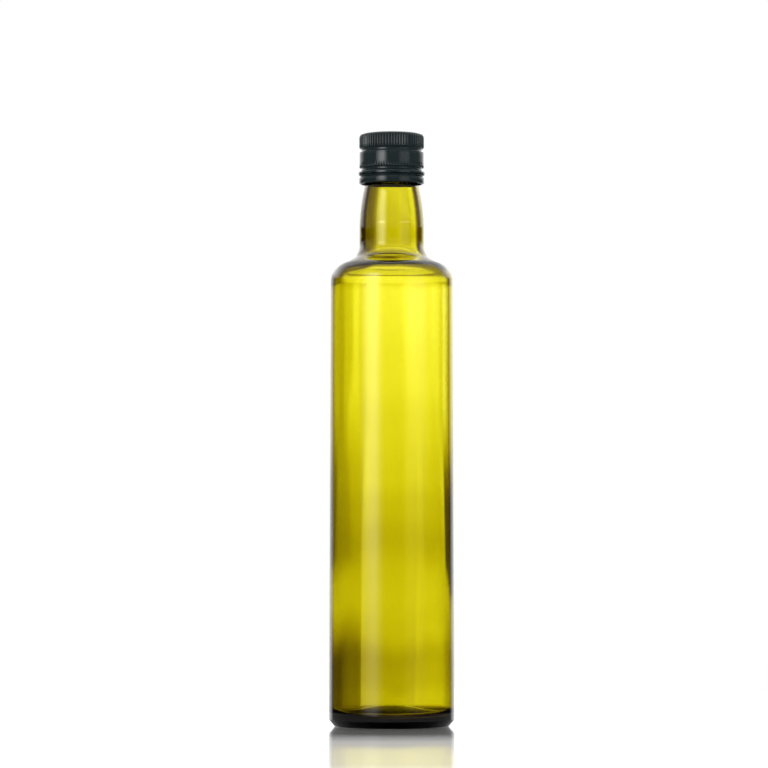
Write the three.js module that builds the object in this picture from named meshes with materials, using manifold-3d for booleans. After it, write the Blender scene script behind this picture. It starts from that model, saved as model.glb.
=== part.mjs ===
// A round 500 ml oil bottle of olive green glass, shut with a black aluminium screw cap.
// The bottle is empty: a thin wall, a thick base that is pushed up in the middle, a sloping shoulder and a
// short neck that narrows under the cap. The cap has a knurled grip, two rolled grooves and a tamper band
// that hangs from ten narrow bridges.
// Millimetres, +Z up, origin on the table under the bottle's axis.
import * as THREE from "three";
import { mergeVertices } from "three/addons/utils/BufferGeometryUtils.js";
import Module from "manifold-3d";

const wasm = await Module();
wasm.setup();

// Driving sizes of the whole
const TOTAL_HEIGHT = 279;
const BODY_RADIUS = 29.1; // half way up
const BODY_DRAFT = 0.38; // the body is this much wider at the heel, and narrower under the shoulder

// Glass, outside
const HEEL_HEIGHT = 3.1;
const HEEL_BEVEL = 2.6;
const HEEL_RADIUS = BODY_RADIUS + BODY_DRAFT;
const BEARING_OUTER = HEEL_RADIUS - HEEL_BEVEL;
const BEARING_WIDTH = 2;
const PUSH_UP = 3.6;
const SHOULDER_RADIUS = BODY_RADIUS - BODY_DRAFT;
const SHOULDER_SLOPE = THREE.MathUtils.degToRad(27);
const SHOULDER_ROUNDING = 9;
const NECK_RADIUS = 15.16;
const NECK_FOOT = 222.3; // height where the slope would meet the neck
const NECK_ROUNDING = 7;
const NECK_BEND = 233; // the neck is straight up to here and narrows above it
const NECK_CURVE = 94.5;
const NECK_TOP = 256.2;
const FINISH_RADIUS = 13;
const LOCK_RING = { radius: 13.6, bottom: 257.4, top: 260.2 };
const LIP_GAP = 0.3;

// Glass, inside
const BODY_WALL = 1.85;
const SHOULDER_WALL = 2.45;
const NECK_WALL = 2.86;
const NECK_INSIDE = NECK_RADIUS - NECK_WALL;
const BORE_RADIUS = 9.2;
const BORE_FOOT = 257; // the bore is straight above it and follows the neck's curve under it
const FLOOR_EDGE = 4.6;
const FLOOR_CROWN = 10;
const FLOOR_ROUNDING = 4.5;
const GLASS_SEGMENTS = 48;

// Cap
const CAP_RADIUS = 15.25;
const CAP_TOP_THICKNESS = 1.1;
const CAP_SHELL = 0.55;
const CAP_INSIDE_SEGMENTS = 48;
const CAP_CORNER = 2.1;
const KNURLS = 68;
const KNURL_DEPTH = 0.42;
const KNURLED_FROM = CAP_RADIUS - 0.6 * CAP_CORNER; // radius on the rounded corner where the knurls begin
const SAME_HEIGHT = 0.01; // points closer in height than this are one row
const GRIP_BOTTOM = 272.4;
const SKIRT_RADIUS = 15.15;
const UPPER_GROOVE = { radius: 14.35, top: 271.5, bottom: 270.1 };
const BEADING = { top: 263.9, bottom: 263.1, depth: 0.18 };
const LOWER_GROOVE = { radius: 14.2, top: 262.5, bottom: 261.6 };
const BEAD = { radius: 15.65, height: 260.1, rounding: 0.7 };
const BAND_GROOVE = { radius: 14.6, height: 258.7 };
const BAND_TOP = 258;
const BAND_RADIUS = 15.3;
const CAP_BOTTOM = 255.1;
const BAND_CURL = 1.1;
const BRIDGES = 10;
const BRIDGE_ANGLE = THREE.MathUtils.degToRad(4);
const FIRST_BRIDGE = THREE.MathUtils.degToRad(-99.2);
const SLOT_HEIGHT = 0.35;
const SLOT_LEVEL = 259.45;

// Turns corners [radius, height, rounding, steps] into a profile, each rounding drawn as a circular arc.
function roundedProfile(corners) {
  const points = [];
  corners.forEach(([radius, height, rounding = 0, steps = 2], i) => {
    const corner = new THREE.Vector2(radius, height);
    if (!rounding) {
      points.push(corner);
      return;
    }
    const back = new THREE.Vector2(...corners[i - 1]).sub(corner).normalize();
    const ahead = new THREE.Vector2(...corners[i + 1]).sub(corner).normalize();
    const half = Math.acos(back.dot(ahead)) / 2;
    const start = corner.clone().addScaledVector(back, rounding / Math.tan(half));
    const middle = back.clone().add(ahead).normalize();
    const centre = corner.clone().addScaledVector(middle, rounding / Math.sin(half));
    const turn = Math.PI - 2 * half;
    const side = Math.sign(back.cross(ahead)) || 1;
    for (let k = 0; k <= steps; k++) {
      points.push(start.clone().rotateAround(centre, (-side * turn * k) / steps));
    }
  });
  return points;
}

// Points of a shallow dome from its edge up to the axis, or back down with the list reversed.
function dome(edgeRadius, edgeHeight, crownHeight, steps) {
  const rise = crownHeight - edgeHeight;
  const sphere = (edgeRadius ** 2 + rise ** 2) / (2 * rise);
  return Array.from({ length: steps + 1 }, (_, k) => {
    const radius = edgeRadius * (1 - k / steps);
    const drop = sphere - Math.sqrt(sphere ** 2 - radius ** 2);
    return new THREE.Vector2(radius, crownHeight - drop);
  });
}

// Corners along the long arc on which the neck narrows, that far under its outer face.
function neckArc(from, to, depth) {
  const steps = 4;
  return Array.from({ length: steps + 1 }, (_, k) => {
    const height = THREE.MathUtils.lerp(from, to, k / steps);
    const narrowing = NECK_CURVE - Math.sqrt(NECK_CURVE ** 2 - (height - NECK_BEND) ** 2);
    return [NECK_RADIUS - narrowing - depth, height];
  });
}

// Revolves a profile about the Z axis.
function revolve(profile, segments) {
  return new THREE.LatheGeometry(profile, segments).rotateX(Math.PI / 2);
}

// A closed geometry as a solid that can be cut.
function solidOf(geometry) {
  const bare = geometry.index ? geometry.toNonIndexed() : geometry.clone();
  bare.deleteAttribute("normal");
  bare.deleteAttribute("uv");
  const merged = mergeVertices(bare, 1e-4);
  return new wasm.Manifold(
    new wasm.Mesh({
      numProp: 3,
      vertProperties: new Float32Array(merged.attributes.position.array),
      triVerts: new Uint32Array(merged.index.array),
    }),
  );
}

// A cut solid as a geometry again.
function geometryOf(solid) {
  const mesh = solid.getMesh();
  return new THREE.BufferGeometry()
    .setAttribute("position", new THREE.BufferAttribute(mesh.vertProperties, 3))
    .setIndex(new THREE.BufferAttribute(mesh.triVerts, 1));
}

// Outside of the glass from under the base to the lip.
function glassOutside() {
  const slopeRun = SHOULDER_RADIUS - NECK_RADIUS;
  const slopeEdge = NECK_FOOT - slopeRun * Math.tan(SHOULDER_SLOPE);
  const lip = TOTAL_HEIGHT - CAP_TOP_THICKNESS - LIP_GAP;
  return [
    ...dome(BEARING_OUTER - BEARING_WIDTH, 0, PUSH_UP, 3).reverse(),
    ...roundedProfile([
      [BEARING_OUTER - BEARING_WIDTH, 0],
      [BEARING_OUTER, 0, 0.5, 1],
      [HEEL_RADIUS, HEEL_HEIGHT, 0.8],
      [SHOULDER_RADIUS, slopeEdge, SHOULDER_ROUNDING, 4],
      [NECK_RADIUS, NECK_FOOT, NECK_ROUNDING, 3],
      ...neckArc(NECK_BEND, NECK_TOP, 0),
      [LOCK_RING.radius, LOCK_RING.bottom],
      [LOCK_RING.radius, LOCK_RING.top],
      [FINISH_RADIUS, LOCK_RING.top + 0.8],
      [FINISH_RADIUS, lip, 1.2],
      [BORE_RADIUS, lip, 1],
      [BORE_RADIUS, BORE_FOOT],
    ]).slice(1, -1),
  ];
}

// Inside of the glass from the bore down to the middle of the floor.
function glassInside() {
  const lean = Math.cos(SHOULDER_SLOPE);
  const shoulderInside = SHOULDER_RADIUS - BODY_WALL;
  const heelInside = HEEL_RADIUS - BODY_WALL;
  const slopeAt = (radius) =>
    NECK_FOOT - (radius - NECK_RADIUS) * Math.tan(SHOULDER_SLOPE) - SHOULDER_WALL / lean;
  return [
    ...roundedProfile([
      [BORE_RADIUS, BORE_FOOT + 10],
      ...neckArc(BORE_FOOT, NECK_BEND, NECK_WALL),
      [NECK_INSIDE, slopeAt(NECK_INSIDE), NECK_ROUNDING + SHOULDER_WALL, 3],
      [shoulderInside, slopeAt(shoulderInside), SHOULDER_ROUNDING - SHOULDER_WALL, 3],
      [heelInside, FLOOR_EDGE, FLOOR_ROUNDING, 3],
      [heelInside - 4, FLOOR_EDGE],
    ]).slice(1, -1),
    ...dome(heelInside - FLOOR_ROUNDING - 0.3, FLOOR_EDGE, FLOOR_CROWN, 3),
  ];
}

// Outside of the cap from the middle of its top down to its curled lower edge and under it to the axis.
function capOutside() {
  const rounded = roundedProfile([
    [0, TOTAL_HEIGHT],
    [CAP_RADIUS, TOTAL_HEIGHT, CAP_CORNER],
    [CAP_RADIUS, GRIP_BOTTOM],
    [UPPER_GROOVE.radius, UPPER_GROOVE.top, 0.4, 1],
    [UPPER_GROOVE.radius, UPPER_GROOVE.bottom + 0.5, 0.3, 1],
    [SKIRT_RADIUS, UPPER_GROOVE.bottom, 0.3, 1],
    [SKIRT_RADIUS, BEADING.top],
    [SKIRT_RADIUS, BEADING.bottom],
    [LOWER_GROOVE.radius, LOWER_GROOVE.top],
    [LOWER_GROOVE.radius, LOWER_GROOVE.bottom],
    [BEAD.radius, BEAD.height + BEAD.rounding, 0.5, 1],
    [BEAD.radius, BEAD.height - BEAD.rounding, 0.5, 1],
    [BAND_GROOVE.radius, BAND_GROOVE.height],
    [BAND_RADIUS, BAND_TOP],
    [BAND_RADIUS, CAP_BOTTOM, 0.7],
    [BAND_RADIUS - BAND_CURL, CAP_BOTTOM],
    [0, CAP_BOTTOM],
  ]);
  return rounded.reverse();
}

// Hollow of the cap, which the bottle's mouth stands in.
function capInside() {
  const under = TOTAL_HEIGHT - CAP_TOP_THICKNESS;
  const corners = [
    [0, CAP_BOTTOM - 1],
    [BAND_RADIUS - BAND_CURL, CAP_BOTTOM - 1],
    [BAND_RADIUS - BAND_CURL, CAP_BOTTOM + CAP_SHELL],
    [BAND_RADIUS - CAP_SHELL, CAP_BOTTOM + 2 * CAP_SHELL],
    [BAND_RADIUS - CAP_SHELL, BAND_TOP - 0.2],
    [BAND_GROOVE.radius - CAP_SHELL, BAND_GROOVE.height],
    [BEAD.radius - CAP_SHELL, BEAD.height],
    [LOWER_GROOVE.radius - CAP_SHELL, LOWER_GROOVE.bottom + 0.2],
    [LOWER_GROOVE.radius - CAP_SHELL, LOWER_GROOVE.top],
    [SKIRT_RADIUS - CAP_SHELL, BEADING.top],
    [SKIRT_RADIUS - CAP_SHELL, UPPER_GROOVE.bottom - 0.2],
    [UPPER_GROOVE.radius - CAP_SHELL, UPPER_GROOVE.bottom + 0.5],
    [UPPER_GROOVE.radius - CAP_SHELL, UPPER_GROOVE.top],
    [CAP_RADIUS - KNURL_DEPTH - CAP_SHELL, GRIP_BOTTOM + 0.5],
    [CAP_RADIUS - KNURL_DEPTH - CAP_SHELL, under],
    [0, under],
  ];
  return corners.map(([radius, height]) => new THREE.Vector2(radius, height));
}

// Presses the knurls and the fine beading into a revolved cap, by drawing in every second column of points.
function pressKnurls(geometry) {
  const position = geometry.attributes.position;
  const point = new THREE.Vector3();
  const pitch = Math.PI / KNURLS;
  for (let i = 0; i < position.count; i++) {
    point.fromBufferAttribute(position, i);
    const radius = Math.hypot(point.x, point.y);
    const column = Math.round(Math.atan2(point.y, point.x) / pitch);
    const isGrip = point.z >= GRIP_BOTTOM - SAME_HEIGHT && radius > KNURLED_FROM;
    const isBeading = Math.abs(point.z - BEADING.bottom) < SAME_HEIGHT;
    if (column % 2 && (isGrip || isBeading)) {
      const scale = 1 - (isGrip ? KNURL_DEPTH : BEADING.depth) / radius;
      position.setXY(i, point.x * scale, point.y * scale);
    }
  }
  return geometry;
}

// One long slot between two bridges of the tamper band.
function bandSlot(index) {
  const pitch = (2 * Math.PI) / BRIDGES;
  const start = FIRST_BRIDGE + index * pitch + BRIDGE_ANGLE / 2;
  const end = start + pitch - BRIDGE_ANGLE;
  const outline = new THREE.Shape();
  outline.absarc(0, 0, BEAD.radius + 1, start, end, false);
  outline.absarc(0, 0, LOWER_GROOVE.radius - 2, end, start, true);
  const slot = new THREE.ExtrudeGeometry(outline, {
    depth: SLOT_HEIGHT,
    bevelEnabled: false,
    curveSegments: 4,
  });
  return slot.translate(0, 0, SLOT_LEVEL - SLOT_HEIGHT / 2);
}

function glassBottle() {
  const glass = new THREE.MeshStandardMaterial({ color: 0xb8ac10, roughness: 0.04, metalness: 0 });
  const profile = [...glassOutside(), ...glassInside()];
  const bottle = new THREE.Mesh(revolve(profile, GLASS_SEGMENTS), glass);
  bottle.name = "glass_bottle";
  return bottle;
}

function screwCap() {
  const lacquer = new THREE.MeshStandardMaterial({ color: 0x1c2628, roughness: 0.3, metalness: 0.4 });
  let shell = solidOf(pressKnurls(revolve(capOutside(), 2 * KNURLS)));
  shell = shell.subtract(solidOf(revolve(capInside(), CAP_INSIDE_SEGMENTS)));
  for (let index = 0; index < BRIDGES; index++) {
    shell = shell.subtract(solidOf(bandSlot(index)));
  }
  const cap = new THREE.Mesh(geometryOf(shell), lacquer);
  cap.name = "screw_cap";
  return cap;
}

const bottleAndCap = new THREE.Group();
bottleAndCap.add(glassBottle(), screwCap());

export default bottleAndCap;
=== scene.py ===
import math

import bmesh
import bpy
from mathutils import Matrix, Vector


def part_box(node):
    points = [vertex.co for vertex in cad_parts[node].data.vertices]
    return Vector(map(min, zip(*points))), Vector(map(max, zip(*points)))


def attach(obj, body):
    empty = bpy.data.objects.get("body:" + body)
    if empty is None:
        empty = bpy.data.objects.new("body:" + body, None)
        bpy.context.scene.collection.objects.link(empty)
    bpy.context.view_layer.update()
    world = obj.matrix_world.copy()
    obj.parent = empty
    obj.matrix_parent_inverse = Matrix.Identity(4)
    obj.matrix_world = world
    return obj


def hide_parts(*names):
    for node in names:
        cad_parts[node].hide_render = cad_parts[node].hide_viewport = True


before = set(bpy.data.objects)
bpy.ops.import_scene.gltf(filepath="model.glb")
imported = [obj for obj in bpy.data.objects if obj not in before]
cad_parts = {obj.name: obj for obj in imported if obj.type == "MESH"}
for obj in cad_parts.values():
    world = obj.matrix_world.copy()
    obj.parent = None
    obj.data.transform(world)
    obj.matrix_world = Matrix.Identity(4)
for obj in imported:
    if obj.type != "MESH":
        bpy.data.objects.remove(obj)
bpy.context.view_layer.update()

bpy.ops.object.select_all(action="DESELECT")


# Shapes are drawn in millimetres. Points within the weld distance of each other become one.
MM = 0.001
weld_distance = 0.002
point_tolerance = 0.01
length_tolerance = 0.051


# The bottle: one piece of clear olive green glass, blown in a mould, so smooth outside and a little
# uneven inside, with a thick base pushed up in the middle. It is turned from its section, and the sizes
# that the frame gives are read from it.
glass_low, glass_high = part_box("glass_bottle")
heel_radius = glass_high.x / MM
lip_height = glass_high.z / MM
body_narrowing = 0.76
heel_height = 3.1
heel_bevel = 2.6
bearing_width = 2.0
push_up = 3.6
shoulder_slope = math.radians(27)
shoulder_rounding = 9.0
neck_radius = 15.16
neck_foot = 222.3
neck_rounding = 7.0
neck_bend = 233.0
neck_curve = 94.5
neck_top = 256.2
neck_rows = 12
finish_radius = 13.0
lock_ring_radius = 13.6
lock_ring_bottom = 257.4
lock_ring_top = 260.2
body_wall = 1.85
shoulder_wall = 2.45
neck_wall = 2.86
neck_inside = neck_radius - neck_wall
bore_radius = 9.2
bore_foot = 257.0
floor_edge = 4.6
floor_crown = 10.0
floor_rounding = 4.5
glass_columns = 192
glass_row = 3.5


def start_section(name, radius, height):
    """Leaves one vertex in edit mode, on the XZ plane, to draw a section from."""
    place = (radius * MM, 0, height * MM)
    bpy.ops.mesh.primitive_plane_add(size=MM, location=place)
    piece = bpy.context.object
    piece.name = name
    bpy.ops.object.transform_apply(location=True)
    bpy.ops.object.mode_set(mode="EDIT")
    bpy.ops.mesh.merge(type="CENTER")
    return piece


def draw_section(corners):
    """Extrudes the section through corners of radius, height, rounding and steps, then rounds them."""
    here = Vector((corners[0][0], corners[0][1]))
    for corner in corners[1:]:
        step = Vector((corner[0], corner[1])) - here
        bpy.ops.mesh.extrude_vertices_move(
            TRANSFORM_OT_translate={"value": (step.x * MM, 0, step.y * MM)}
        )
        here += step
    for before, corner, after in zip(corners, corners[1:], corners[2:]):
        if len(corner) < 4:
            continue
        radius, height, rounding, steps = corner
        back = (Vector(before[:2]) - Vector((radius, height))).normalized()
        ahead = (Vector(after[:2]) - Vector((radius, height))).normalized()
        reach = rounding / math.tan(back.angle(ahead) / 2)
        place = Vector((radius * MM, 0, height * MM))
        select_points(lambda vertex: (vertex.co - place).length < point_tolerance * MM)
        bpy.ops.mesh.bevel(offset_type="ABSOLUTE", offset=reach * MM, segments=steps, affect="VERTICES")


def select_points(chosen):
    """Selects, in edit mode, the vertices that are chosen, and the edges and faces between them."""
    bpy.ops.mesh.select_all(action="DESELECT")
    mesh = bmesh.from_edit_mesh(bpy.context.edit_object.data)
    for vertex in mesh.verts:
        vertex.select = chosen(vertex)
    mesh.select_flush(True)
    bmesh.update_edit_mesh(bpy.context.edit_object.data)


def divide_walls(longest):
    """Cuts each edge of a drawn section that is longer than a row of faces should be high."""
    mesh = bmesh.from_edit_mesh(bpy.context.edit_object.data)
    lengths = sorted({round(edge.calc_length() / MM, 1) for edge in mesh.edges}, reverse=True)
    for length in [each for each in lengths if each > longest]:
        bpy.ops.mesh.select_all(action="DESELECT")
        mesh = bmesh.from_edit_mesh(bpy.context.edit_object.data)
        for edge in mesh.edges:
            edge.select = abs(edge.calc_length() / MM - length) < length_tolerance
        mesh.select_flush(True)
        bpy.ops.mesh.subdivide(number_cuts=math.ceil(length / longest) - 1)


def spin_section(columns):
    """Turns the drawn section about the Z axis into a closed skin with its faces out."""
    bpy.ops.mesh.select_all(action="SELECT")
    bpy.ops.mesh.spin(steps=columns, angle=math.tau, center=(0, 0, 0), axis=(0, 0, 1))
    bpy.ops.mesh.select_all(action="SELECT")
    bpy.ops.mesh.remove_doubles(threshold=weld_distance * MM)
    bpy.ops.mesh.normals_make_consistent(inside=False)


def dome(edge_radius, edge_height, crown_height, steps):
    """Corners of a shallow dome from its edge to the axis."""
    rise = crown_height - edge_height
    sphere = (edge_radius**2 + rise**2) / (2 * rise)
    corners = []
    for step in range(steps + 1):
        radius = edge_radius * (1 - step / steps)
        drop = sphere - math.sqrt(sphere**2 - radius**2)
        corners.append((radius, crown_height - drop))
    return corners


def neck_arc(first, last, wall):
    """Corners along the long arc on which the neck narrows, that far under its outer face."""
    corners = []
    for row in range(neck_rows + 1):
        height = first + (last - first) * row / neck_rows
        narrowing = neck_curve - math.sqrt(neck_curve**2 - (height - neck_bend) ** 2)
        corners.append((neck_radius - narrowing - wall, height))
    return corners


def slope_height(radius, wall):
    """Height of the shoulder's slope at a radius, that far under its outer face."""
    outside = neck_foot - (radius - neck_radius) * math.tan(shoulder_slope)
    return outside - wall / math.cos(shoulder_slope)


shoulder_radius = heel_radius - body_narrowing
bearing_outer = heel_radius - heel_bevel
bearing_inner = bearing_outer - bearing_width
shoulder_inside = shoulder_radius - body_wall
heel_inside = heel_radius - body_wall

glass_section = [
    *reversed(dome(bearing_inner, 0, push_up, 14)),
    (bearing_outer, 0, 0.5, 4),
    (heel_radius, heel_height, 0.8, 5),
    (shoulder_radius, slope_height(shoulder_radius, 0), shoulder_rounding, 16),
    (neck_radius, neck_foot, neck_rounding, 12),
    *neck_arc(neck_bend, neck_top, 0),
    (lock_ring_radius, lock_ring_bottom, 0.4, 3),
    (lock_ring_radius, lock_ring_top, 0.4, 3),
    (finish_radius, lock_ring_top + 0.8, 0.4, 3),
    (finish_radius, lip_height, 1.2, 6),
    (bore_radius, lip_height, 1, 6),
    *neck_arc(bore_foot, neck_bend, neck_wall),
    (neck_inside, slope_height(neck_inside, shoulder_wall), neck_rounding + shoulder_wall, 12),
    (shoulder_inside, slope_height(shoulder_inside, shoulder_wall), shoulder_rounding - shoulder_wall, 12),
    (heel_inside, floor_edge, floor_rounding, 12),
    *dome(heel_inside - floor_rounding - 0.3, floor_edge, floor_crown, 14),
]
bottle = start_section("bottle", *glass_section[0][:2])
draw_section(glass_section)
divide_walls(glass_row)
spin_section(glass_columns)

# The inside was shaped by air alone, so the wall swells and thins in long, soft streaks.
wall_swell = 0.4
streak_width = 17.0
streak_stretch = 9.0


def is_blown_face(vertex):
    """True on the inside of the glass from the floor up into the neck."""
    outward = Vector((vertex.co.x, vertex.co.y, 0)).dot(vertex.normal)
    is_wall = outward < 0 and floor_edge < vertex.co.z / MM < neck_top
    is_floor = vertex.normal.z > 0.5 and vertex.co.z / MM <= floor_crown
    return is_wall or is_floor


select_points(is_blown_face)
bpy.ops.object.vertex_group_assign_new()
bpy.ops.object.mode_set(mode="OBJECT")
streaks = bpy.data.textures.new("Streaks in the wall", "CLOUDS")
streaks.noise_scale = streak_width * MM
streaks.noise_depth = 1
bpy.ops.object.empty_add(location=(0, 0, 0))
streak_guide = bpy.context.object
streak_guide.scale = (1, 1, streak_stretch)
bpy.context.view_layer.update()
bpy.ops.object.select_all(action="DESELECT")
bottle.select_set(True)
bpy.context.view_layer.objects.active = bottle
swell = bottle.modifiers.new("Uneven inside", "DISPLACE")
swell.texture = streaks
swell.texture_coords = "OBJECT"
swell.texture_coords_object = streak_guide
swell.vertex_group = bottle.vertex_groups[0].name
swell.mid_level = 0.5
swell.strength = wall_swell * MM
bpy.ops.object.modifier_apply(modifier=swell.name)
bpy.data.objects.remove(streak_guide)
bpy.ops.object.shade_smooth()

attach(bottle, "root")
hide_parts("glass_bottle")

glass_ior = 1.52
glass_colour = (0.845, 0.823, 0.05, 1)
glass_density = 1000.0
mark_scale = 45.0
mark_depth = 0.00003
olive_glass = bpy.data.materials.new("Olive glass")
olive_glass.use_nodes = True
glass_nodes = olive_glass.node_tree.nodes
glass_links = olive_glass.node_tree.links
glass_shader = glass_nodes["Principled BSDF"]
glass_shader.inputs["Base Color"].default_value = (1, 1, 1, 1)
glass_shader.inputs["Roughness"].default_value = 0.0
glass_shader.inputs["IOR"].default_value = glass_ior
glass_shader.inputs["Transmission Weight"].default_value = 1.0
glass_tint = glass_nodes.new("ShaderNodeVolumeAbsorption")
glass_tint.inputs["Color"].default_value = glass_colour
glass_tint.inputs["Density"].default_value = glass_density
glass_links.new(glass_tint.outputs["Volume"], glass_nodes["Material Output"].inputs["Volume"])
mould_marks = glass_nodes.new("ShaderNodeTexNoise")
mould_marks.inputs["Scale"].default_value = mark_scale
mould_marks.inputs["Detail"].default_value = 2.0
glass_place = glass_nodes.new("ShaderNodeTexCoord")
glass_links.new(glass_place.outputs["Object"], mould_marks.inputs["Vector"])
glass_skin = glass_nodes.new("ShaderNodeBump")
glass_skin.inputs["Strength"].default_value = 0.5
glass_skin.inputs["Distance"].default_value = mark_depth
glass_links.new(mould_marks.outputs["Fac"], glass_skin.inputs["Height"])
glass_links.new(glass_skin.outputs["Normal"], glass_shader.inputs["Normal"])
bottle.data.materials.append(olive_glass)


# The screw cap: a thin aluminium shell, lacquered black, rolled on to the neck. It has a knurled grip, a
# rolled groove under it, a row of fine beading, and a tamper band that hangs from ten narrow bridges.
cap_low, cap_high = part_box("screw_cap")
cap_top = cap_high.z / MM
cap_bottom = cap_low.z / MM
bead_radius = cap_high.x / MM
cap_radius = 15.25
cap_corner = 2.1
cap_shell = 0.55
cap_top_thickness = 1.1
top_panel_radius = 12.0
top_panel_depth = 0.12
grip_bottom = 272.4
skirt_radius = 15.15
upper_groove_radius = 14.35
upper_groove_top = 271.5
upper_groove_bottom = 270.1
beading_top = 263.9
beading_bottom = 262.85
lower_groove_radius = 14.2
lower_groove_top = 262.5
lower_groove_bottom = 261.6
bead_height = 260.1
bead_half = 0.7
band_groove_radius = 14.6
band_groove_height = 258.7
band_top = 258.0
band_radius = 15.3
band_curl = 1.1
knurls = 68
columns_per_knurl = 6
knurl_depth = 0.42
groove_shares = {0: 1.0, 1: 0.5, 2: 0.08}
columns_per_bead = 6
beading_depth = 0.34
bead_shares = {0: 1.0, 1: 0.6}
cap_columns = knurls * columns_per_knurl
cap_row = 1.2

under_top = cap_top - cap_top_thickness
grip_inside = cap_radius - knurl_depth - cap_shell
cap_section = [
    (0, cap_top - top_panel_depth),
    (top_panel_radius, cap_top - top_panel_depth),
    (top_panel_radius + 0.5, cap_top),
    (cap_radius, cap_top, cap_corner, 10),
    (cap_radius, grip_bottom, 0.25, 3),
    (upper_groove_radius, upper_groove_top, 0.4, 4),
    (upper_groove_radius, upper_groove_bottom + 0.5, 0.3, 4),
    (skirt_radius, upper_groove_bottom, 0.3, 4),
    (skirt_radius, beading_top),
    (skirt_radius, (beading_top + beading_bottom) / 2),
    (skirt_radius, beading_bottom, 0.15, 2),
    (lower_groove_radius, lower_groove_top, 0.15, 2),
    (lower_groove_radius, lower_groove_bottom, 0.15, 2),
    (bead_radius, bead_height + bead_half, 0.5, 4),
    (bead_radius, bead_height - bead_half, 0.5, 4),
    (band_groove_radius, band_groove_height, 0.2, 3),
    (band_radius, band_top, 0.25, 3),
    (band_radius, cap_bottom, 0.7, 6),
    (band_radius - band_curl, cap_bottom, 0.2, 3),
    (band_radius - band_curl, cap_bottom + cap_shell),
    (band_radius - cap_shell, cap_bottom + 2 * cap_shell),
    (band_radius - cap_shell, band_top - 0.2),
    (band_groove_radius - cap_shell, band_groove_height),
    (bead_radius - cap_shell, bead_height),
    (lower_groove_radius - cap_shell, lower_groove_bottom + 0.2),
    (lower_groove_radius - cap_shell, lower_groove_top),
    (skirt_radius - cap_shell, beading_top),
    (skirt_radius - cap_shell, upper_groove_bottom - 0.2),
    (upper_groove_radius - cap_shell, upper_groove_bottom + 0.5),
    (upper_groove_radius - cap_shell, upper_groove_top),
    (grip_inside, grip_bottom + 0.5),
    (grip_inside, under_top),
    (0, under_top),
]
cap = start_section("cap", *cap_section[0][:2])
black_lacquer = bpy.data.materials.new("Black lacquer")
cap.data.materials.append(black_lacquer)
draw_section(cap_section)
divide_walls(cap_row)
spin_section(cap_columns)


def steps_from_groove(vertex, pitch):
    """How many columns a vertex is from the nearest groove, with pitch columns from groove to groove."""
    column = round(math.atan2(vertex.co.y, vertex.co.x) / (math.tau / cap_columns))
    return abs(column % pitch - pitch // 2)


def press_grooves(pitch, shares, depth, bottom, top, inside):
    """Presses upright grooves, between two heights, into what lies outside a radius."""
    for steps, share in shares.items():
        select_points(
            lambda vertex: steps_from_groove(vertex, pitch) == steps
            and bottom < vertex.co.z / MM < top
            and math.hypot(vertex.co.x, vertex.co.y) / MM > inside
        )
        narrower = 1 - depth * share / cap_radius
        bpy.ops.transform.resize(value=(narrower, narrower, 1), center_override=(0, 0, 0))


press_grooves(
    columns_per_knurl,
    groove_shares,
    knurl_depth,
    bottom=grip_bottom - 0.3,
    top=cap_top - 0.5,
    inside=cap_radius - 0.6,
)
press_grooves(
    columns_per_bead,
    bead_shares,
    beading_depth,
    bottom=beading_bottom - 0.1,
    top=beading_top - 0.1,
    inside=skirt_radius - 0.3,
)
bpy.ops.object.mode_set(mode="OBJECT")

# The tamper band is cut from the skirt along one line, in ten slots that leave the bridges standing.
bridges = 10
bridge_angle = math.radians(4)
first_bridge = math.radians(-99.2)
slot_height = 0.35
slot_level = 259.45
slot_steps = 16
slot_inner = lower_groove_radius - 2
slot_outer = bead_radius + 1
bpy.ops.object.select_all(action="DESELECT")
bpy.ops.mesh.primitive_plane_add(size=1, rotation=(math.pi / 2, 0, 0))
slots = bpy.context.object
slots.scale = ((slot_outer - slot_inner) * MM, slot_height * MM, 1)
slots.location = ((slot_outer + slot_inner) / 2 * MM, 0, slot_level * MM)
bpy.ops.object.transform_apply(location=True, rotation=True, scale=True)
bpy.ops.object.mode_set(mode="EDIT")
bpy.ops.mesh.select_all(action="SELECT")
slot_angle = math.tau / bridges - bridge_angle
bpy.ops.mesh.spin(steps=slot_steps, angle=slot_angle, center=(0, 0, 0), axis=(0, 0, 1))
bpy.ops.mesh.select_all(action="SELECT")
bpy.ops.mesh.normals_make_consistent(inside=False)
bpy.ops.object.mode_set(mode="OBJECT")
slots.rotation_euler.z = first_bridge + bridge_angle / 2
bpy.ops.object.transform_apply(rotation=True)
bpy.ops.object.mode_set(mode="EDIT")
bpy.ops.mesh.select_all(action="SELECT")
bpy.ops.mesh.spin(
    steps=bridges, dupli=True, angle=math.tau, center=(0, 0, 0), axis=(0, 0, 1), use_auto_merge=True
)
bpy.ops.mesh.select_all(action="SELECT")
bpy.ops.mesh.remove_doubles(threshold=weld_distance * MM)
bpy.ops.object.mode_set(mode="OBJECT")
bpy.ops.object.select_all(action="DESELECT")
cap.select_set(True)
bpy.context.view_layer.objects.active = cap
cut = cap.modifiers.new("Slots", "BOOLEAN")
cut.operation = "DIFFERENCE"
cut.solver = "MANIFOLD"
cut.object = slots
bpy.ops.object.modifier_apply(modifier=cut.name)
bpy.data.objects.remove(slots)
bpy.ops.object.shade_smooth_by_angle(angle=math.radians(35))

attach(cap, "root")
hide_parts("screw_cap")

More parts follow.
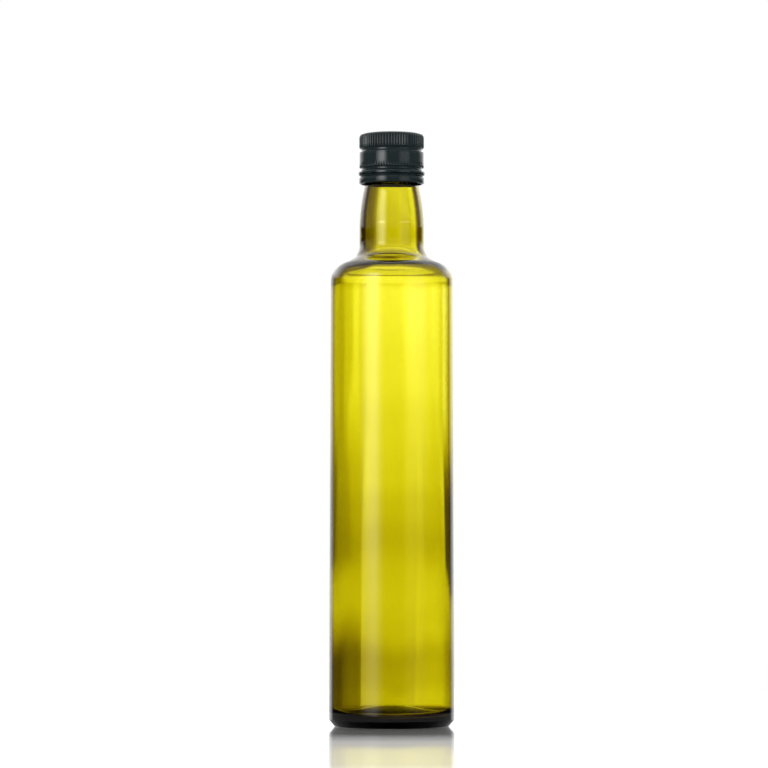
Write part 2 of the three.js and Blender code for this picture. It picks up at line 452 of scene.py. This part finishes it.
lacquer_colour = (0.009, 0.016, 0.018, 1)
lacquer_ior = 1.5
wear_scale = 160.0
smoothest = 0.09
roughest = 0.17
peel_depth = 0.00002
black_lacquer.use_nodes = True
lacquer_shader = black_lacquer.node_tree.nodes["Principled BSDF"]
lacquer_shader.inputs["Base Color"].default_value = lacquer_colour
lacquer_shader.inputs["IOR"].default_value = lacquer_ior
lacquer_nodes = black_lacquer.node_tree.nodes
lacquer_links = black_lacquer.node_tree.links
lacquer_place = lacquer_nodes.new("ShaderNodeTexCoord")
lacquer_wear = lacquer_nodes.new("ShaderNodeTexNoise")
lacquer_wear.inputs["Scale"].default_value = wear_scale
lacquer_wear.inputs["Detail"].default_value = 4.0
lacquer_links.new(lacquer_place.outputs["Object"], lacquer_wear.inputs["Vector"])
lacquer_gloss = lacquer_nodes.new("ShaderNodeMapRange")
lacquer_gloss.inputs["From Min"].default_value = 0.3
lacquer_gloss.inputs["From Max"].default_value = 0.7
lacquer_gloss.inputs["To Min"].default_value = smoothest
lacquer_gloss.inputs["To Max"].default_value = roughest
lacquer_links.new(lacquer_wear.outputs["Fac"], lacquer_gloss.inputs["Value"])
lacquer_links.new(lacquer_gloss.outputs["Result"], lacquer_shader.inputs["Roughness"])
lacquer_peel = lacquer_nodes.new("ShaderNodeBump")
lacquer_peel.inputs["Strength"].default_value = 0.5
lacquer_peel.inputs["Distance"].default_value = peel_depth
lacquer_links.new(lacquer_wear.outputs["Fac"], lacquer_peel.inputs["Height"])
lacquer_links.new(lacquer_peel.outputs["Normal"], lacquer_shader.inputs["Normal"])


def fill_ramp(ramp, stops, brightest):
    """Spreads stops of place and brightness over a colour ramp, as greys with the brightest white."""
    first, last = min(stops), max(stops)
    while len(ramp.color_ramp.elements) < len(stops):
        ramp.color_ramp.elements.new(0.5)
    for element, stop in zip(ramp.color_ramp.elements, sorted(stops)):
        element.position = (stop - first) / (last - first)
        grey = stops[stop] / brightest
        element.color = (grey, grey, grey, 1)


# The floor: a plain white sheet with a polished face, in which the base of the bottle is mirrored, and a
# painted contact shade round the base.
floor_radius = 0.45
floor_white = (0.97, 0.97, 0.97, 1)
polish_roughness = 0.06
# More mirror and less white close to the bottle darken the floor there: this is painted contact shade, not
# a change in the floor.
mirror_and_painted_shade_shares = {0.0: 0.93, 0.075: 0.91, 0.1: 0.76, 0.137: 0.61, 0.2: 0.6, 0.3: 0.58, 0.45: 0.0}
mirror_reach = max(mirror_and_painted_shade_shares)
bpy.ops.mesh.primitive_circle_add(vertices=96, radius=floor_radius, fill_type="NGON")
floor = bpy.context.object
floor.name = "floor"
floor.visible_transmission = False
floor.visible_glossy = False
white_floor = bpy.data.materials.new("White floor")
white_floor.use_nodes = True
floor_nodes = white_floor.node_tree.nodes
floor_links = white_floor.node_tree.links
floor_shader = floor_nodes["Principled BSDF"]
floor_shader.inputs["Base Color"].default_value = floor_white
floor_shader.inputs["Specular IOR Level"].default_value = 0.0
polish = floor_nodes.new("ShaderNodeBsdfAnisotropic")
polish.inputs["Color"].default_value = (1, 1, 1, 1)
polish.inputs["Roughness"].default_value = polish_roughness
floor_place = floor_nodes.new("ShaderNodeTexCoord")
floor_distance = floor_nodes.new("ShaderNodeVectorMath")
floor_distance.operation = "LENGTH"
floor_links.new(floor_place.outputs["Object"], floor_distance.inputs[0])
floor_reach = floor_nodes.new("ShaderNodeMapRange")
floor_reach.inputs["From Max"].default_value = mirror_reach
floor_links.new(floor_distance.outputs["Value"], floor_reach.inputs["Value"])
mirror_and_shade_ramp = floor_nodes.new("ShaderNodeValToRGB")
fill_ramp(mirror_and_shade_ramp, mirror_and_painted_shade_shares, 1)
floor_links.new(floor_reach.outputs["Result"], mirror_and_shade_ramp.inputs["Fac"])
floor_mix = floor_nodes.new("ShaderNodeMixShader")
floor_links.new(mirror_and_shade_ramp.outputs["Color"], floor_mix.inputs["Fac"])
floor_links.new(floor_shader.outputs["BSDF"], floor_mix.inputs[1])
floor_links.new(polish.outputs["BSDF"], floor_mix.inputs[2])
floor_links.new(floor_mix.outputs["Shader"], floor_nodes["Material Output"].inputs["Surface"])
floor.data.materials.append(white_floor)


# The studio: a backdrop that is brighter above the horizon and on the right, which is what the glass shows,
# and a dark room in front for the glossy surfaces.
studio = bpy.data.worlds.new("Studio")
studio.use_nodes = True
bpy.context.scene.world = studio
studio.cycles.sampling_method = "NONE"
studio_nodes = studio.node_tree.nodes
studio_links = studio.node_tree.links
studio_nodes["Background"].inputs["Color"].default_value = (1, 1, 1, 1)


def studio_math(operation, *values):
    """Adds a Math node, each value a number or another node's output, and returns its output."""
    node = studio_nodes.new("ShaderNodeMath")
    node.operation = operation
    for socket, value in zip(node.inputs, values):
        if isinstance(value, bpy.types.NodeSocket):
            studio_links.new(value, socket)
        else:
            socket.default_value = value
    return node.outputs["Value"]


def studio_curve(value, stops):
    """Brightness along an angle, from stops of degrees to brightness, as a ramp of grey."""
    brightest = max(stops.values())
    reach = studio_nodes.new("ShaderNodeMapRange")
    reach.inputs["From Min"].default_value = min(stops)
    reach.inputs["From Max"].default_value = max(stops)
    studio_links.new(value, reach.inputs["Value"])
    ramp = studio_nodes.new("ShaderNodeValToRGB")
    ramp.color_ramp.interpolation = "EASE"
    fill_ramp(ramp, stops, brightest)
    studio_links.new(reach.outputs["Result"], ramp.inputs["Fac"])
    return studio_math("MULTIPLY", ramp.outputs["Color"], brightest)


def studio_choice(is_chosen, chosen, other):
    """One brightness where a light path is of that kind, and the other where it isn't."""
    change = studio_math("SUBTRACT", chosen, other)
    return studio_math("MULTIPLY_ADD", is_chosen, change, other)


def studio_blend(value, stops):
    """One brightness where a value is low and another above, from stops of two values to two outputs."""
    (low, below), (high, above) = stops
    reach = studio_nodes.new("ShaderNodeMapRange")
    reach.interpolation_type = "SMOOTHSTEP"
    reach.inputs["From Min"].default_value = low
    reach.inputs["From Max"].default_value = high
    studio_links.new(value, reach.inputs["Value"])
    return studio_choice(reach.outputs["Result"], above, below)


direction = studio_nodes.new("ShaderNodeTexCoord")
parts = studio_nodes.new("ShaderNodeSeparateXYZ")
studio_links.new(direction.outputs["Generated"], parts.inputs["Vector"])
elevation = studio_math("DEGREES", studio_math("ARCSINE", parts.outputs["Z"]))
azimuth = studio_math("DEGREES", studio_math("ARCTAN2", parts.outputs["X"], parts.outputs["Y"]))
from_middle = studio_math("ABSOLUTE", azimuth)

by_height = studio_curve(
    elevation,
    {
        -8: 0.9, -2.45: 1.0, -2.15: 0.83, -1.85: 0.77, -1.4: 1.15, -0.95: 1.27, -0.65: 1.22, -0.15: 1.02,
        0.35: 1.2, 0.8: 1.43, 1.55: 1.58, 2.3: 1.8, 3.6: 2.03, 4.0: 1.75, 4.4: 1.5, 4.7: 1.68, 5.1: 2.0,
        7: 2.1, 10: 2.1,
    },
)
low_sides = studio_curve(
    azimuth,
    {
        -14: 0.16, -12: 0.15, -7: 0.12, -5.6: 0.15, -4.8: 0.28, -3.1: 0.42, -2.5: 0.5, -2.1: 0.92,
        -1.2: 0.98, 0: 1.0, 1: 1.05, 1.6: 1.25, 3: 1.25, 5.8: 1.46, 7.6: 1.44, 10: 1.2, 14: 1.1,
    },
)
streak_sides = studio_curve(
    azimuth,
    {
        -14: 1.3, -7.3: 1.05, -4.9: 0.95, -3.1: 0.9, -2.4: 0.9, -2.0: 1.1, -1.2: 1.12, -0.5: 1.02, 0: 1.0,
        1: 1.02, 1.5: 1.14, 3: 1.12, 5.8: 1.18, 14: 1.25,
    },
)
level_sides = studio_curve(
    azimuth,
    {
        -20: 0.1, -14: 0.5, -12: 0.7, -8.5: 0.73, -5.5: 0.6, -4.2: 0.62, -3.1: 0.79, -2.5: 0.86, -2.1: 1.12,
        -1.2: 1.14, -0.5: 1.04, 0: 1.0, 1: 1.02, 1.5: 1.12, 2.4: 1.1, 3: 1.0, 5.8: 1.08, 7.6: 1.3, 9: 1.4,
        11: 0.7, 13: 0.2, 20: 0.15,
    },
)
high_sides = studio_curve(
    azimuth,
    {
        -14: 0.85, -9: 0.62, -7.3: 0.62, -4.9: 0.8, -4.0: 1.05, -3.1: 1.03, -2.3: 0.9, -1.2: 1.0, 0: 1.0,
        1.6: 1.07, 3: 1.08, 5.8: 1.2, 8.6: 1.08, 14: 1.6,
    },
)
neck_sides = studio_curve(
    azimuth,
    {
        -40: 0.15, -25: 0.16, -12: 0.24, -9.5: 0.32, -7: 0.52, -5: 0.88, -3: 1.0, 0: 1.0, 5: 1.0, 9: 1.02,
        13.6: 1.3, 18: 1.5, 24: 1.2, 31: 0.8, 40: 0.4,
    },
)
sides = studio_blend(elevation, [(-1.85, low_sides), (-1.0, streak_sides)])
sides = studio_blend(elevation, [(-0.75, sides), (-0.3, level_sides)])
sides = studio_blend(elevation, [(0.6, sides), (2.0, high_sides)])
sides = studio_blend(elevation, [(4.15, sides), (4.3, neck_sides)])
steepness = studio_curve(
    elevation, {-60: 0.04, -30: 0.1, -12: 0.49, -8: 0.97, 11: 0.97, 18: 0.4, 60: 0.3}
)
wideness = studio_curve(azimuth, {-90: 0.5, -40: 0.5, -16: 1.0, 20: 1.0, 40: 0.6, 90: 0.4})
backdrop = studio_math("MULTIPLY", by_height, sides)
backdrop = studio_math("MULTIPLY", backdrop, steepness)
backdrop = studio_math("MULTIPLY", backdrop, wideness)

# Seen from the sides or from behind, the glass has an even backdrop.
all_round = studio_curve(elevation, {-60: 0.7, -30: 0.9, -8: 1.05, 4: 1.35, 18: 1.2, 60: 0.7})
backdrop = studio_blend(from_middle, [(45, backdrop), (80, all_round)])

# Where it is dark the backdrop is a browner yellow, where it is bright it has some white glare, and what
# the floor mirrors is dimmer. Glossy surfaces see white cards beside the backdrop and else a dim room. The
# floor is lit evenly, and the camera sees plain white.
darkening = 1.144
yellow = 0.912
glare_rise = 5.0
glare = 0.042
mirrored_loss = 0.4
floor_light = 1.25
plain_white = 1.0
paths = studio_nodes.new("ShaderNodeLightPath")
is_mirrored = studio_math("MINIMUM", paths.outputs["Glossy Depth"], 1.0)
backdrop = studio_math("MULTIPLY", backdrop, studio_math("MULTIPLY_ADD", is_mirrored, -mirrored_loss, 1.0))
warm_backdrop = studio_nodes.new("ShaderNodeCombineColor")
studio_links.new(backdrop, warm_backdrop.inputs["Red"])
green = studio_math("MULTIPLY", studio_math("POWER", backdrop, darkening), yellow)
studio_links.new(green, warm_backdrop.inputs["Green"])
blue = studio_math("MULTIPLY", studio_math("POWER", backdrop, glare_rise), glare)
studio_links.new(blue, warm_backdrop.inputs["Blue"])
low_cards = studio_curve(from_middle, {0: 1.12, 20: 1.05, 33: 0.95, 38: 0.4, 42: 0.05, 46: 0.0})
high_cards = studio_curve(from_middle, {0: 1.12, 40: 1.05, 50: 0.9, 62: 0.1, 70: 0.0})
cards = studio_blend(elevation, [(5.1, low_cards), (5.4, high_cards)])
card_height = studio_curve(elevation, {-12: 0.0, -6: 1.0, 6: 1.0, 16: 1.8, 40: 1.0})
cards = studio_math("MULTIPLY", cards, card_height)
room = studio_curve(elevation, {-8: 0.3, -2.75: 0.2, -2.5: 0.015, 5.15: 0.015, 5.5: 0.2, 12: 0.3})
floor_and_ceiling = studio_curve(
    elevation, {-90: 0.02, -55: 0.14, -30: 0.5, -15: 1.0, 35: 1.0, 50: 2.4, 90: 2.4}
)
room = studio_math("MULTIPLY", room, floor_and_ceiling)
gloss = studio_math("ADD", cards, room)
brightness = studio_choice(paths.outputs["Is Glossy Ray"], gloss, floor_light)
brightness = studio_choice(paths.outputs["Is Camera Ray"], plain_white, brightness)
through = studio_nodes.new("ShaderNodeMix")
through.data_type = "RGBA"
studio_links.new(paths.outputs["Is Transmission Ray"], through.inputs["Factor"])
studio_links.new(brightness, through.inputs["A"])
studio_links.new(warm_backdrop.outputs["Color"], through.inputs["B"])
studio_links.new(through.outputs["Result"], studio_nodes["Background"].inputs["Color"])


# Two tall light panels in front make the upright highlights, a bright one on the left and a dim one on
# the right.
panel_distance = 0.9
left_direction = -34
right_direction = 47


def light_panel(name, middle, across, upward):
    """A panel that faces the bottle, with stops of brightness across it in degrees and upward in metres."""
    first, last = min(across), max(across)
    bottom, top = min(upward), max(upward)
    width = panel_distance * math.radians(last - first)
    turn = math.radians(middle)
    bpy.ops.mesh.primitive_plane_add(size=1, rotation=(math.pi / 2, 0, turn))
    panel = bpy.context.object
    panel.name = name
    panel.scale = (width, top - bottom, 1)
    middle_height = (top + bottom) / 2
    panel.location = (panel_distance * math.sin(turn), -panel_distance * math.cos(turn), middle_height)
    panel.visible_camera = False
    panel.visible_diffuse = False
    panel.visible_shadow = False
    glow = bpy.data.materials.new(name)
    glow.use_nodes = True
    nodes = glow.node_tree.nodes
    links = glow.node_tree.links
    nodes.remove(nodes["Principled BSDF"])
    place = nodes.new("ShaderNodeTexCoord")
    split = nodes.new("ShaderNodeSeparateXYZ")
    links.new(place.outputs["Object"], split.inputs["Vector"])
    light = nodes.new("ShaderNodeEmission")
    product = nodes.new("ShaderNodeMath")
    product.operation = "MULTIPLY"
    strength = 1.0
    for axis, stops, share in (("X", across, product.inputs[0]), ("Y", upward, product.inputs[1])):
        brightest = max(stops.values())
        reach = nodes.new("ShaderNodeMapRange")
        reach.inputs["From Min"].default_value = -0.5
        reach.inputs["From Max"].default_value = 0.5
        links.new(split.outputs[axis], reach.inputs["Value"])
        ramp = nodes.new("ShaderNodeValToRGB")
        fill_ramp(ramp, stops, brightest)
        strength *= brightest
        links.new(reach.outputs["Result"], ramp.inputs["Fac"])
        links.new(ramp.outputs["Color"], share)
    brightness = nodes.new("ShaderNodeMath")
    brightness.operation = "MULTIPLY"
    brightness.inputs[1].default_value = strength
    links.new(product.outputs["Value"], brightness.inputs[0])
    links.new(brightness.outputs["Value"], light.inputs["Strength"])
    # Through the glass the studio shows behind the panel as well.
    ray = nodes.new("ShaderNodeLightPath")
    clear = nodes.new("ShaderNodeBsdfTransparent")
    both = nodes.new("ShaderNodeAddShader")
    links.new(ray.outputs["Is Transmission Ray"], clear.inputs["Color"])
    links.new(light.outputs["Emission"], both.inputs[0])
    links.new(clear.outputs["BSDF"], both.inputs[1])
    links.new(both.outputs["Shader"], nodes["Material Output"].inputs["Surface"])
    panel.data.materials.append(glow)


light_panel(
    "left_panel",
    left_direction,
    {
        -27: 0.0, -23: 0.25, -16: 0.44, -12: 0.7, -4: 0.95, 3: 1.0, 7: 0.8, 9: 0.6, 13: 0.35, 17: 0.12,
        21: 0.05, 27: 0.0,
    },
    {
        -0.05: 1.1, 0.0: 1.0, 0.091: 1.7, 0.195: 2.3, 0.254: 2.7, 0.326: 3.1, 0.353: 4.0, 0.36: 4.5,
        0.364: 9.5, 0.37: 9.5, 0.375: 3.6, 0.7: 3.2,
    },
)
light_panel(
    "right_panel",
    right_direction,
    {-27: 0.0, -20: 0.5, -14: 1.0, 12: 1.0, 20: 0.5, 27: 0.0},
    {
        -0.05: 0.1, 0.07: 0.1, 0.1: 0.15, 0.195: 0.5, 0.25: 0.9, 0.275: 0.9, 0.3: 0.5, 0.36: 0.45,
        0.364: 2.4, 0.37: 2.4, 0.375: 0.5, 0.7: 0.5,
    },
)


# The camera stands where the photograph's did: level with the lower third of the bottle, looking a
# little up.
camera_distance = 1.816
eye_level = 0.091
aim_height = 0.1608
axis_offset = 0.0036
focal_length = 180.8
sensor_width = 36
camera_data = bpy.data.cameras.new("Camera")
camera_data.lens = focal_length
camera_data.sensor_width = sensor_width
camera = bpy.data.objects.new("Camera", camera_data)
bpy.context.scene.collection.objects.link(camera)
camera.location = (-axis_offset, -camera_distance, eye_level)
camera.rotation_euler = (math.pi / 2 + math.atan2(aim_height - eye_level, camera_distance), 0, 0)
bpy.context.scene.camera = camera

bpy.context.scene.view_settings.view_transform = "Standard"
bpy.context.scene.cycles.max_bounces = 32
bpy.context.scene.cycles.transmission_bounces = 32
bpy.context.scene.cycles.glossy_bounces = 12
